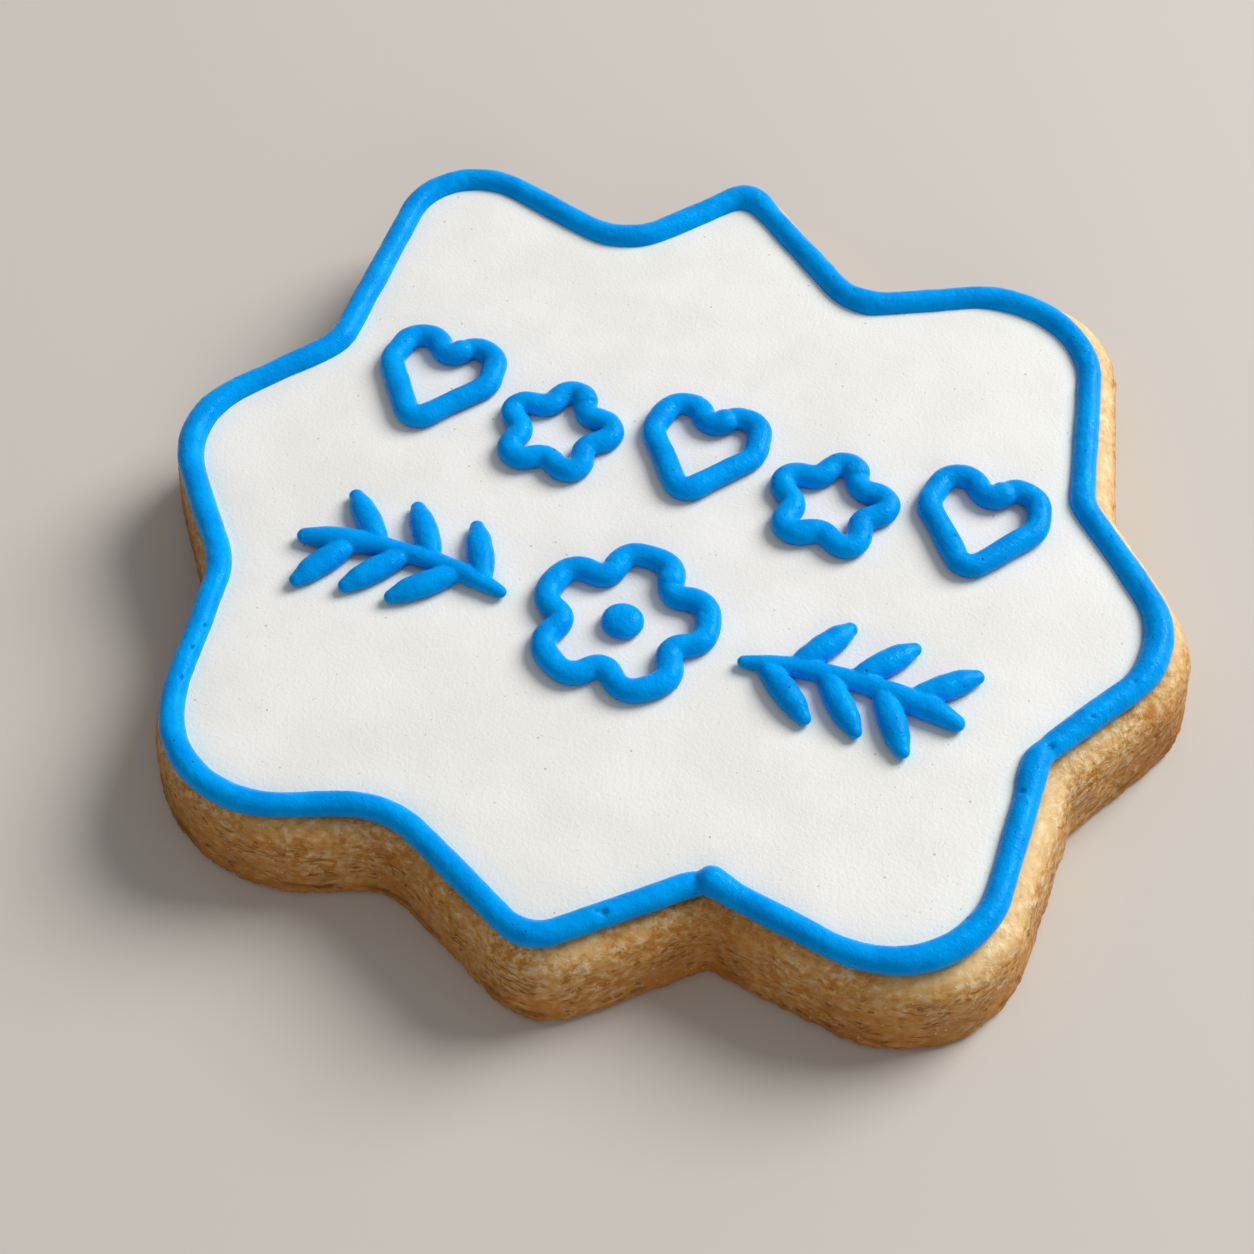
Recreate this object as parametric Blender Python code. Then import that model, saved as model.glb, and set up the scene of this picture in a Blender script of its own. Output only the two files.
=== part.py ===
"""Iced sugar cookie: a plaque of rolled dough with eight lobes, white icing and a piped blue bead round it.

Piped blue hearts, stars, a flower and two leaf sprigs decorate its middle. Units are metres, and +Z is up.
The cookie lies flat with its iced side up, +Y is the top of the decoration, and the origin is the middle of
the underside.
"""

import math

import bmesh
import bpy
from mathutils import Vector

COOKIE = "iced_sugar_cookie"
HELPERS = "helpers"

# The outline that the border bead follows, anticlockwise from the right-hand lobe: (direction in degrees,
# reach from the middle, rounding of the corner). Each valley comes after the lobe in the same row.
LOBES = [
    (-1.0, 0.0494, 0.0096),
    (51.0, 0.0550, 0.0100),
    (93.5, 0.0471, 0.0020),
    (129.0, 0.0575, 0.0070),
    (179.0, 0.0489, 0.0090),
    (230.0, 0.0548, 0.0105),
    (271.5, 0.0453, 0.0036),
    (311.5, 0.0559, 0.0098),
]
VALLEYS = [
    (20.0, 0.0401, 0.0045),
    (71.0, 0.0354, 0.0052),
    (110.5, 0.0381, 0.0070),
    (158.5, 0.0398, 0.0055),
    (201.0, 0.0404, 0.0095),
    (248.0, 0.0384, 0.0090),
    (291.0, 0.0382, 0.0018),
    (337.5, 0.0416, 0.0022),
]
LEAST_ROUNDING = 0.0008
LOBE_ARC = 8  # straight steps in the arc of each lobe
VALLEY_ARC = 4

# Dough: how far its wall stands outside the bead's line, its edges, and where it differs from that line.
DOUGH_THICKNESS = 0.0084
DOUGH_FOOT_MARGIN = 0.0031
DOUGH_RIM_MARGIN = 0.0027
DOUGH_FOOT_ROUNDING = 0.0007
DOUGH_RIM_ROUNDING = 0.0018
DOUGH_SHIFT = Vector((0.0008, 0.0002))  # the icing isn't quite centred on the dough
DOUGH_CHANGES = {  # direction of the corner: (change of reach, change of rounding)
    20.0: (0.0007, 0),
    51.0: (-0.0004, -0.0025),
    93.5: (0.0012, 0),
    179.0: (-0.0008, -0.0045),
    201.0: (0.0005, 0),
    230.0: (0.0020, 0.0022),
    311.5: (-0.0008, -0.0012),
    337.5: (0.0007, 0),
}

TOUCHING_GAP = 0.0003
ICING_BASE = DOUGH_THICKNESS + TOUCHING_GAP

# White icing, flooded almost to the border's line.
FLOOD_TOP = 0.0097
FLOOD_MARGIN = -0.00175
FLOOD_EDGE_ROUNDING = 0.0005

# Blue border bead, wider at the corners, with the round head where the piping started.
BORDER_WIDTH = 0.0023
BORDER_HEIGHT = 0.0023
BORDER_SECTION_STEPS = 7
LOBE_SWELLING = 1.14
VALLEY_SWELLING = 1.06
HEAD_RADIUS = 0.00155
HEAD_HEIGHT = 0.0013
HEAD_PLACE = (291.5, 0.0379)  # direction and distance from the middle

# Blue decoration, in two rows across the middle.
PIPING_WIDTH = 0.0025
PIPING_HEIGHT = 0.0017
PIPING_SECTION_STEPS = 6
PIPING_BASE = FLOOD_TOP + TOUCHING_GAP
FOOT_ANGLE = math.radians(-42)  # where the round section of a bead meets its flat foot
DECORATION_MIDDLE = Vector((0.0007, -0.0014))
DECORATION_TILT = math.radians(-4)
ROW_HEIGHT = 0.0105  # of each row's middle line above or below the decoration's middle

UPPER_ROW = ["heart_left", "star_left", "heart_middle", "star_right", "heart_right"]
MOTIF_SPACING = 0.0138
MOTIF_STAGGER = 0.0014  # hearts sit this much above the row's line, and stars below it
MOTIF_ARC = 3
HEART_SIZE = 0.0048
HEART_HALF = [(1.10, 0.10, 0.46), (0.96, 0.95, 0.40), (0.38, 1.02, 0.34)]  # x, y, rounding in heart sizes
HEART_TIP = (0, -1.36, 0.27)
HEART_NOTCH = (0, 0.40, 0.27)
STAR_POINTS = 5
STAR_REACH = 0.0075
STAR_WAIST = 0.0033
STAR_ROUNDING = 0.0013
PETALS = 5
PETAL_HALF_ANGLE = 20
PETAL_REACH = 0.0083
PETAL_ROUNDING = 0.0020
PETAL_NOTCH_REACH = 0.0043
PETAL_NOTCH_ROUNDING = 0.0013
FLOWER_DOT_RADIUS = 0.0019

# Sprigs: swellings are widths against PIPING_WIDTH, and shares are of the stem's or the leaf's length.
SPRIG_PLACE = 0.0215  # of its middle, to either side
SPRIG_LENGTH = 0.0200
SPRIG_BOW = 0.0014
STEM_SWELLINGS = [0.20, 0.70, 0.80, 0.80, 0.80, 0.80, 0.85, 1.00, 1.00, 0.16]  # evenly, root to tip
LEAVES = 6
FIRST_LEAF = 0.10
LEAF_SPACING = 0.132
LEAF_LENGTH = 0.0068
LEAF_ANGLE = 52
LEAF_SWELLINGS = [(0.0, 0.60), (0.2, 0.90), (0.5, 1.08), (0.8, 0.88), (1.0, 0.16)]  # (share, swelling)
LEAF_LIFT = Vector((0, 0, 0.00006))  # above the stem's foot, so that no two faces lie in one plane

DOME_SEGMENTS = 14
DOME_RINGS = 8
SHARP_ANGLE = math.radians(50)
WELD_DISTANCE = 0.000001


# Scene, objects and materials.


def clear_scene():
    for thing in list(bpy.data.objects):
        bpy.data.objects.remove(thing, do_unlink=True)


def new_collection(name):
    collection = bpy.data.collections.new(name)
    bpy.context.scene.collection.children.link(collection)


def add_object(name, data, parent=None, location=(0, 0, 0), turn=0):
    thing = bpy.data.objects.new(name, data)
    bpy.data.collections[COOKIE].objects.link(thing)
    thing.parent = parent
    thing.location = location
    thing.rotation_euler.z = turn
    return thing


def make_helper(thing):
    """Turns an object into a guide or a shape for a Boolean, which isn't part of the cookie itself."""
    bpy.data.collections[COOKIE].objects.unlink(thing)
    bpy.data.collections[HELPERS].objects.link(thing)
    thing.hide_render = True
    thing.display_type = "WIRE"
    return thing


def new_material(name, colour, roughness):
    material = bpy.data.materials.new(name)
    material.use_nodes = True
    shader = material.node_tree.nodes["Principled BSDF"]
    shader.inputs["Base Color"].default_value = (*colour, 1)
    shader.inputs["Roughness"].default_value = roughness
    shader.inputs["Metallic"].default_value = 0
    material.diffuse_color = (*colour, 1)
    return material


def dough_material():
    return new_material("baked_dough", (0.58, 0.35, 0.155), 0.85)


def white_material():
    return new_material("white_icing", (0.84, 0.84, 0.83), 0.55)


def blue_material():
    return new_material("blue_icing", (0.005, 0.23, 0.76), 0.35)


def finish_mesh(name, shape, material):
    """The edited shape as a mesh with outward faces, smooth but for its sharp edges."""
    bmesh.ops.recalc_face_normals(shape, faces=shape.faces)
    mesh = bpy.data.meshes.new(name)
    shape.to_mesh(mesh)
    shape.free()
    mesh.shade_smooth()
    mesh.set_sharp_from_angle(angle=SHARP_ANGLE)
    mesh.materials.append(material)
    return mesh


# Outlines: closed lines round corners, where each corner is (point, rounding).


def polar(degrees, reach):
    angle = math.radians(degrees)
    return Vector((reach * math.cos(angle), reach * math.sin(angle)))


def corner_shape(corners, place):
    """Unit vectors to the corners before and after, half the angle between them, and 1 on a lobe or -1."""
    point = corners[place][0]
    back = (corners[place - 1][0] - point).normalized()
    ahead = (corners[(place + 1) % len(corners)][0] - point).normalized()
    return back, ahead, back.angle(ahead) / 2, math.copysign(1, ahead.cross(back))


def moved_out(corners, margin):
    """The corners of the same outline with all its sides moved out by the margin."""
    moved = []
    for place, (point, rounding) in enumerate(corners):
        back, ahead, half, side = corner_shape(corners, place)
        step = (back + ahead).normalized() * margin / math.sin(half)
        moved.append((point - side * step, max(rounding + side * margin, LEAST_ROUNDING)))
    return moved


def rounded(corners, lobe_steps, valley_steps):
    """The outline's points, with every corner an arc of this many straight steps."""
    line = []
    for place, (point, rounding) in enumerate(corners):
        back, ahead, half, side = corner_shape(corners, place)
        centre = point + (back + ahead).normalized() * rounding / math.sin(half)
        start = point + back * rounding / math.tan(half) - centre
        first = math.degrees(math.atan2(start.y, start.x))
        turn = side * (180 - 2 * math.degrees(half))
        steps = lobe_steps if side > 0 else valley_steps
        line += [centre + polar(first + turn * step / steps, rounding) for step in range(steps + 1)]
    return line


def plaque_corners(changes):
    corners = []
    for lobe, valley in zip(LOBES, VALLEYS):
        for degrees, reach, rounding in (lobe, valley):
            further, rounder = changes.get(degrees, (0, 0))
            corners.append((polar(degrees, reach + further), rounding + rounder))
    return corners


def plaque(margin, changes):
    """The cookie's outline, this far outside the line of the border bead."""
    return rounded(moved_out(plaque_corners(changes), margin), LOBE_ARC, VALLEY_ARC)


def heart_corners():
    other_half = [(-x, y, rounding) for x, y, rounding in reversed(HEART_HALF)]
    corners = [HEART_TIP, *HEART_HALF, HEART_NOTCH, *other_half]
    return [(Vector((x, y)) * HEART_SIZE, rounding * HEART_SIZE) for x, y, rounding in corners]


def star_corners():
    corners = []
    for i in range(STAR_POINTS):
        degrees = 90 + 360 * i / STAR_POINTS
        corners.append((polar(degrees, STAR_REACH), STAR_ROUNDING))
        corners.append((polar(degrees + 180 / STAR_POINTS, STAR_WAIST), STAR_ROUNDING))
    return corners


def flower_corners():
    corners = []
    for i in range(PETALS):
        degrees = 90 + 360 * i / PETALS
        corners.append((polar(degrees - PETAL_HALF_ANGLE, PETAL_REACH), PETAL_ROUNDING))
        corners.append((polar(degrees + PETAL_HALF_ANGLE, PETAL_REACH), PETAL_ROUNDING))
        corners.append((polar(degrees + 180 / PETALS, PETAL_NOTCH_REACH), PETAL_NOTCH_ROUNDING))
    return corners


def middle_of(line):
    xs = [point.x for point in line]
    ys = [point.y for point in line]
    return Vector((min(xs) + max(xs), min(ys) + max(ys))) / 2


# Dough and white icing: slabs with the plaque's outline.


def quarter_round(margin, height, rounding, first, steps):
    """(margin, height) along a quarter circle about this centre, anticlockwise from the first angle."""
    angles = [first + math.pi / 2 * step / steps for step in range(steps + 1)]
    return [(margin + rounding * math.cos(a), height + rounding * math.sin(a)) for a in angles]


def slab(name, levels, changes, material):
    """A solid with the plaque's outline, lofted from its underside to its top through (margin, height)."""
    shape = bmesh.new()
    rings = []
    for margin, height in levels:
        rings.append([shape.verts.new((*point, height)) for point in plaque(margin, changes)])
    count = len(rings[0])
    for lower, upper in zip(rings, rings[1:]):
        for i in range(count):
            j = (i + 1) % count
            shape.faces.new((lower[i], lower[j], upper[j], upper[i]))
    shape.faces.new(reversed(rings[0]))
    shape.faces.new(rings[-1])
    return add_object(name, finish_mesh(name, shape, material))


def dough(place):
    foot_centre = (DOUGH_FOOT_MARGIN - DOUGH_FOOT_ROUNDING, DOUGH_FOOT_ROUNDING)
    foot = quarter_round(*foot_centre, DOUGH_FOOT_ROUNDING, -math.pi / 2, 2)
    rim_centre = (DOUGH_RIM_MARGIN - DOUGH_RIM_ROUNDING, DOUGH_THICKNESS - DOUGH_RIM_ROUNDING)
    rim = quarter_round(*rim_centre, DOUGH_RIM_ROUNDING, 0, 4)
    solid = slab("dough", foot + rim, DOUGH_CHANGES, dough_material())
    solid.location = (*place, 0)


def white_icing(icing):
    edge_centre = (FLOOD_MARGIN - FLOOD_EDGE_ROUNDING, FLOOD_TOP - FLOOD_EDGE_ROUNDING)
    edge = quarter_round(*edge_centre, FLOOD_EDGE_ROUNDING, 0, 2)
    solid = slab("white_icing", [(FLOOD_MARGIN, ICING_BASE), *edge], {}, white_material())
    solid.parent = icing


# Piped blue icing: lines with a round section on a flat foot.


def bead_section(name, width, height, steps):
    """The section of a piped line, with the middle of its foot at the origin."""
    curve = bpy.data.curves.new(name, "CURVE")
    curve.dimensions = "2D"
    spline = curve.splines.new("POLY")
    spline.points.add(steps)
    spline.use_cyclic_u = True
    half_height = height / (1 - math.sin(FOOT_ANGLE))
    for step, point in enumerate(spline.points):
        angle = math.pi - FOOT_ANGLE - (math.pi - 2 * FOOT_ANGLE) * step / steps
        across = width / 2 * math.cos(angle)
        up = half_height * (math.sin(angle) - math.sin(FOOT_ANGLE))
        point.co = (across, up, 0, 1)
    return make_helper(add_object(name, curve))


def piped_line(name, line, swellings, section, material, closed=True):
    """A piped line through these points, its section scaled by the swelling at each of them."""
    curve = bpy.data.curves.new(name, "CURVE")
    curve.dimensions = "3D"
    curve.twist_mode = "Z_UP"
    curve.bevel_mode = "OBJECT"
    curve.bevel_object = section
    curve.use_fill_caps = True
    spline = curve.splines.new("POLY")
    spline.points.add(len(line) - 1)
    spline.use_cyclic_u = closed
    for knot, point, swelling in zip(spline.points, line, swellings):
        knot.co = (*point, 0, 1)
        knot.radius = swelling
    curve.materials.append(material)
    return add_object(name, curve)


def as_mesh(curve_object, material):
    """The curve object made a closed mesh object of the same name and place."""
    graph = bpy.context.evaluated_depsgraph_get()
    tube = bpy.data.meshes.new_from_object(curve_object.evaluated_get(graph))
    shape = bmesh.new()
    shape.from_mesh(tube)
    bmesh.ops.remove_doubles(shape, verts=shape.verts, dist=WELD_DISTANCE)
    name = curve_object.name
    place = curve_object.matrix_world.copy()
    bpy.data.objects.remove(curve_object, do_unlink=True)
    bpy.data.meshes.remove(tube)
    solid = add_object(name, finish_mesh(name, shape, material))
    solid.matrix_world = place
    return solid


def dome(name, radius, height, material):
    """A round blob of icing: the upper part of a ball, on a flat foot at its origin."""
    shape = bmesh.new()
    bmesh.ops.create_uvsphere(shape, u_segments=DOME_SEGMENTS, v_segments=DOME_RINGS, radius=radius)
    foot = -radius / 4
    geometry = shape.verts[:] + shape.edges[:] + shape.faces[:]
    cut = bmesh.ops.bisect_plane(
        shape, geom=geometry, plane_co=(0, 0, foot), plane_no=(0, 0, -1), clear_outer=True
    )
    rim = [item for item in cut["geom_cut"] if isinstance(item, bmesh.types.BMEdge)]
    bmesh.ops.contextual_create(shape, geom=rim)
    for vert in shape.verts:
        vert.co.z = (vert.co.z - foot) * height / (radius - foot)
    return add_object(name, finish_mesh(name, shape, material))


def join_to(solid, helper):
    """Makes the helper's shape part of the solid."""
    join = solid.modifiers.new(helper.name, "BOOLEAN")
    join.operation = "UNION"
    join.object = make_helper(helper)


def border_swellings():
    """The bead's width at each point of its line, against BORDER_WIDTH: piping slows down at corners."""
    swellings = []
    for steps, most in ((LOBE_ARC, LOBE_SWELLING), (VALLEY_ARC, VALLEY_SWELLING)) * len(LOBES):
        swellings += [1 + (most - 1) * math.sin(math.pi * step / steps) for step in range(steps + 1)]
    return swellings


def blue_border(icing, material):
    section = bead_section("border_section", BORDER_WIDTH, BORDER_HEIGHT, BORDER_SECTION_STEPS)
    line = piped_line("blue_border", plaque(0, {}), border_swellings(), section, material)
    bead = as_mesh(line, material)
    bead.parent = icing
    bead.location.z = ICING_BASE
    head = dome("border_head", HEAD_RADIUS, HEAD_HEIGHT, material)
    head.parent = icing
    head.location = (*polar(*HEAD_PLACE), PIPING_BASE)
    join_to(bead, head)


def ring_motif(name, corners, location, decoration, section, material):
    line = rounded(corners, MOTIF_ARC, MOTIF_ARC)
    motif = piped_line(name, line, [1] * len(line), section, material)
    motif.parent = decoration
    motif.location = location


def upper_row(decoration, section, material):
    for place, name in enumerate(UPPER_ROW):
        heart = name.startswith("heart")
        corners = heart_corners() if heart else star_corners()
        across = (place - len(UPPER_ROW) // 2) * MOTIF_SPACING
        up = ROW_HEIGHT + (MOTIF_STAGGER if heart else -MOTIF_STAGGER)
        ring_motif(name, corners, (across, up, 0), decoration, section, material)


def flower(decoration, section, material):
    location = (0, -ROW_HEIGHT, 0)
    ring_motif("flower_ring", flower_corners(), location, decoration, section, material)
    dot = dome("flower_dot", FLOWER_DOT_RADIUS, PIPING_HEIGHT, material)
    dot.parent = decoration
    dot.location = location


def stem_point(share, side):
    """A point of a bowed stem at this share of its length, where side is 1 if it grows to the right."""
    across = side * SPRIG_LENGTH * (share - 0.5)
    return Vector((across, SPRIG_BOW * (4 * share * (1 - share) - 0.5)))


def leaf_line(number, side):
    """The points of a leaf that leans forward from the stem, up or down by turns."""
    share = FIRST_LEAF + LEAF_SPACING * number
    root = stem_point(share, side)
    along = stem_point(share + LEAF_SPACING, side) - root
    lean = LEAF_ANGLE if number % 2 else -LEAF_ANGLE
    tip = polar(math.degrees(math.atan2(along.y, along.x)) + lean, LEAF_LENGTH)
    return [root + tip * leaf_share for leaf_share, _ in LEAF_SWELLINGS]


def sprig(name, side, decoration, section, material):
    """A stem with leaves on alternate sides, each a short piped line that joins it."""
    location = Vector((side * SPRIG_PLACE, -ROW_HEIGHT, 0))
    last = len(STEM_SWELLINGS) - 1
    stem = [stem_point(step / last, side) for step in range(last + 1)]
    solid = as_mesh(piped_line(name, stem, STEM_SWELLINGS, section, material, closed=False), material)
    solid.parent = decoration
    solid.location = location
    swellings = [swelling for _, swelling in LEAF_SWELLINGS]
    for number in range(LEAVES):
        leaf_name = f"{name}_leaf_{number + 1}"
        line = piped_line(leaf_name, leaf_line(number, side), swellings, section, material, closed=False)
        leaf = as_mesh(line, material)
        leaf.parent = decoration
        leaf.location = location + LEAF_LIFT
        join_to(solid, leaf)


def decorate(icing, material):
    section = bead_section("piping_section", PIPING_WIDTH, PIPING_HEIGHT, PIPING_SECTION_STEPS)
    middle = (*DECORATION_MIDDLE, PIPING_BASE)
    decoration = add_object("decoration", None, icing, middle, DECORATION_TILT)
    upper_row(decoration, section, material)
    flower(decoration, section, material)
    sprig("sprig_left", -1, decoration, section, material)
    sprig("sprig_right", 1, decoration, section, material)


def build():
    clear_scene()
    new_collection(COOKIE)
    new_collection(HELPERS)
    dough_place = -middle_of(plaque(DOUGH_FOOT_MARGIN, DOUGH_CHANGES))
    dough(dough_place)
    icing = add_object("icing", None, location=(*(dough_place - DOUGH_SHIFT), 0))
    white_icing(icing)
    blue = blue_material()
    blue_border(icing, blue)
    decorate(icing, blue)


build()
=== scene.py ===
"""The look of the iced sugar cookie: crumbly baked dough, flooded white icing and piped blue icing.

Units are metres in the row's frame. Each piece stands for one CAD node, whose part it hides.
"""

import math

import bpy
import numpy as np
from mathutils.kdtree import KDTree
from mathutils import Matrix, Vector, noise


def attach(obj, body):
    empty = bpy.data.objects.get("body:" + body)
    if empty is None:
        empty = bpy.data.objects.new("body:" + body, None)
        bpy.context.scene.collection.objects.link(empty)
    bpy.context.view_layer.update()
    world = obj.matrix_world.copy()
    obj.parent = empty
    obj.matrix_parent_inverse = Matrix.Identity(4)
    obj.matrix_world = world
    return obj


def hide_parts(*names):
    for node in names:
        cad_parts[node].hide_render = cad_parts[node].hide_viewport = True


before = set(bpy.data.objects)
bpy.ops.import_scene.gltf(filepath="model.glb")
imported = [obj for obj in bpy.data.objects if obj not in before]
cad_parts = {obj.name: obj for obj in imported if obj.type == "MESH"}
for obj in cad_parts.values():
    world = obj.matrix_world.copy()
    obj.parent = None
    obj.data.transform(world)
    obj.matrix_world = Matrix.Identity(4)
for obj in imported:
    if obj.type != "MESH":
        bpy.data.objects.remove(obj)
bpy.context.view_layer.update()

MM = 0.001

# The outline that the border bead follows, as in the CAD model: (direction in degrees, reach from the
# middle, rounding of the corner). Each valley comes after the lobe in the same row.
LOBES = [
    (-1.0, 0.0494, 0.0096),
    (51.0, 0.0550, 0.0100),
    (93.5, 0.0471, 0.0020),
    (129.0, 0.0575, 0.0070),
    (179.0, 0.0489, 0.0090),
    (230.0, 0.0548, 0.0105),
    (271.5, 0.0453, 0.0036),
    (311.5, 0.0559, 0.0098),
]
VALLEYS = [
    (20.0, 0.0401, 0.0045),
    (71.0, 0.0354, 0.0052),
    (110.5, 0.0381, 0.0070),
    (158.5, 0.0398, 0.0055),
    (201.0, 0.0404, 0.0095),
    (248.0, 0.0384, 0.0090),
    (291.0, 0.0382, 0.0018),
    (337.5, 0.0416, 0.0022),
]
LEAST_ROUNDING = 0.0008
LOBE_ARC = 24
VALLEY_ARC = 16

# Dough, as in the CAD model.
DOUGH_THICKNESS = 0.0084
DOUGH_FOOT_MARGIN = 0.0031
DOUGH_RIM_MARGIN = 0.0027
DOUGH_FOOT_ROUNDING = 0.0007
DOUGH_RIM_ROUNDING = (0.0026, 0.0038)  # across and up
DOUGH_SHIFT = (0.0008, 0.0002)
DOUGH_CHANGES = {
    20.0: (0.0007, 0),
    51.0: (-0.0004, -0.0025),
    93.5: (0.0012, 0),
    179.0: (-0.0008, -0.0045),
    201.0: (0.0005, 0),
    230.0: (0.0020, 0.0022),
    311.5: (-0.0008, -0.0012),
    337.5: (0.0007, 0),
}
# Places in the icing's place where the dough is made browner or paler: x, y and reach in mm, and how much.
DOUGH_COLOUR_PATCHES = [(48.0, -6.5, 7.0, 0.24), (34.5, -38.5, 8.0, -0.16), (12.5, -41.0, 5.5, 0.16), (3.5, -45.0, 3.5, -0.08)]
DOUGH_STEPS = 1280
DOUGH_GRAIN = 0.00026  # between the rings of the wall
UNDERSIDE_RINGS = 14
UNDERSIDE_STEP = 4  # wall points for each point round the underside

FLOOD_TOP = 0.0097
FLOOD_STEPS = 640
FLOOD_RINGS = 100

BORDER_WIDTH = 0.00256
BORDER_TOP = 0.01078
BORDER_FOOT = 0.00838
BORDER_FOOT_ANGLE = math.radians(-70)
BORDER_VOXEL = 0.000192
BORDER_TAPER = 2.4  # the bead is this share wider for each metre towards +Y
# How far the bead's line lies outside the plaque's outline, in hundredths of a millimetre, for each
# fifteenth degree round from +X.
BORDER_SHIFTS = [14, 21, 22, 17, 12, 20, 25, 12, 11, 8, 9, 13, 15, 34, 12, 2, -3, -6, -13, -8, -8, 3, 17, -6]
# How much wider the bead is there, in hundredths.
BORDER_WIDTHS = [0, -3, -9, -14, -4, 0, -7, 0, -4, -12, -3, 0, 0, 0, -4, -8, -3, 0, 0, 0, 0, 0, 0, 4]
# Places in the icing's place where the bead swells or narrows: x, y and reach in mm, and the share.
BORDER_SWELLS = [(-2.4, 45.9, 2.2, 0.15), (12.6, 33.9, 2.0, 0.12), (39.5, -15.0, 0.9, -0.10), (38.3, -18.0, 1.5, 0.07)]
# Dents and burst bubbles in the bead: x, y, reach and depth in mm. The material paints shade into them.
BORDER_DENTS = [
    (39.5, -15.0, 0.42, 0.20),
    (37.8, -20.2, 0.34, 0.12),
    (6.7, -41.3, 0.40, 0.22),
    (6.1, -41.3, 0.25, 0.12),
    (-36.3, -22.6, 0.20, 0.14),
    (-36.4, -25.3, 0.18, 0.12),
    (-36.05, -28.6, 0.20, 0.14),
    (42.5, -11.0, 0.20, 0.12),
    (45.5, -6.2, 0.20, 0.14),
]
LOBE_SWELLING = 1.10
VALLEY_SWELLING = 1.04
HEAD_PLACE = (291.6, 0.0385)

PIPING_WIDTH = 0.0025
PIPING_TOP = 0.01145
PIPING_FOOT = 0.0095
PIPING_VOXEL = 0.00013
PIPING_FOOT_ANGLE = math.radians(-58)
DECORATION_MIDDLE = (0.0007, -0.0014)
DECORATION_TILT = math.radians(-4)
ROW_HEIGHT = 0.0105
UPPER_ROW = ["heart_left", "star_left", "heart_middle", "star_right", "heart_right"]
MOTIF_SPACING = 0.0138
MOTIF_STAGGER = 0.0014
MOTIF_ARC = 10
HEART_SIZE = 0.0048
HEART_HALF = [(1.10, 0.10, 0.46), (0.96, 0.95, 0.40), (0.38, 1.02, 0.34)]
HEART_TIP = (0, -1.36, 0.27)
HEART_NOTCH = (0, 0.40, 0.27)
STAR_POINTS = 5
STAR_REACH = 0.0075
STAR_WAIST = 0.0033
STAR_ROUNDING = 0.0013
PETALS = 5
PETAL_HALF_ANGLE = 20
PETAL_REACH = 0.0083
PETAL_ROUNDING = 0.0020
PETAL_NOTCH_REACH = 0.0043
PETAL_NOTCH_ROUNDING = 0.0013
FLOWER_DOT_RADIUS = 0.0019
SPRIG_PLACE = 0.0215
SPRIG_LENGTH = 0.0200
SPRIG_BOW = 0.0014
STEM_SWELLINGS = [0.50, 0.74, 0.80, 0.80, 0.80, 0.80, 0.85, 1.00, 1.00, 0.62]
LEAVES = 6
FIRST_LEAF = 0.10
LEAF_SPACING = 0.132
LEAF_LENGTH = 0.0068
LEAF_ANGLE = 52
LEAF_SWELLINGS = [(0.0, 0.62), (0.2, 0.90), (0.5, 1.06), (0.8, 0.95), (1.0, 0.56)]


# Outlines: closed lines round corners, where each corner is (point, rounding).


def polar(degrees, reach):
    angle = math.radians(degrees)
    return Vector((reach * math.cos(angle), reach * math.sin(angle)))


def corner_shape(corners, place):
    point = corners[place][0]
    back = (corners[place - 1][0] - point).normalized()
    ahead = (corners[(place + 1) % len(corners)][0] - point).normalized()
    return back, ahead, back.angle(ahead) / 2, math.copysign(1, ahead.cross(back))


def moved_out(corners, margin):
    moved = []
    for place, (point, rounding) in enumerate(corners):
        back, ahead, half, side = corner_shape(corners, place)
        step = (back + ahead).normalized() * margin / math.sin(half)
        moved.append((point - side * step, max(rounding + side * margin, LEAST_ROUNDING)))
    return moved


def rounded(corners, lobe_steps, valley_steps):
    line = []
    for place, (point, rounding) in enumerate(corners):
        back, ahead, half, side = corner_shape(corners, place)
        centre = point + (back + ahead).normalized() * rounding / math.sin(half)
        start = point + back * rounding / math.tan(half) - centre
        first = math.degrees(math.atan2(start.y, start.x))
        turn = side * (180 - 2 * math.degrees(half))
        steps = lobe_steps if side > 0 else valley_steps
        line += [centre + polar(first + turn * step / steps, rounding) for step in range(steps + 1)]
    return line


def plaque_corners(changes):
    corners = []
    for lobe, valley in zip(LOBES, VALLEYS):
        for degrees, reach, rounding in (lobe, valley):
            further, rounder = changes.get(degrees, (0, 0))
            corners.append((polar(degrees, reach + further), rounding + rounder))
    return corners


def plaque(margin, changes):
    return rounded(moved_out(plaque_corners(changes), margin), LOBE_ARC, VALLEY_ARC)


def middle_of(line):
    xs = [point.x for point in line]
    ys = [point.y for point in line]
    return np.array(((min(xs) + max(xs)) / 2, (min(ys) + max(ys)) / 2))


def resampled(line, count, closed=True):
    """Evenly spaced points along a line of points, which may carry further values after x and y."""
    line = np.array([tuple(point) for point in line])
    if closed:
        line = np.vstack((line, line[:1]))
    steps = np.hypot(*np.diff(line[:, :2], axis=0).T)
    along = np.concatenate(((0,), np.cumsum(steps)))
    places = np.linspace(0, along[-1], count, endpoint=not closed)
    return np.column_stack([np.interp(places, along, values) for values in line.T])


def smoothed(rows, reach, closed=True):
    """The rows averaged with their neighbours up to this many places away."""
    weights = np.cos(np.linspace(-0.5, 0.5, 2 * reach + 3)[1:-1] * math.pi) ** 2
    weights /= weights.sum()
    padded = np.pad(rows, ((reach, reach), (0, 0)), mode="wrap" if closed else "edge")
    return np.column_stack([np.convolve(values, weights, "valid") for values in padded.T])


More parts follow.
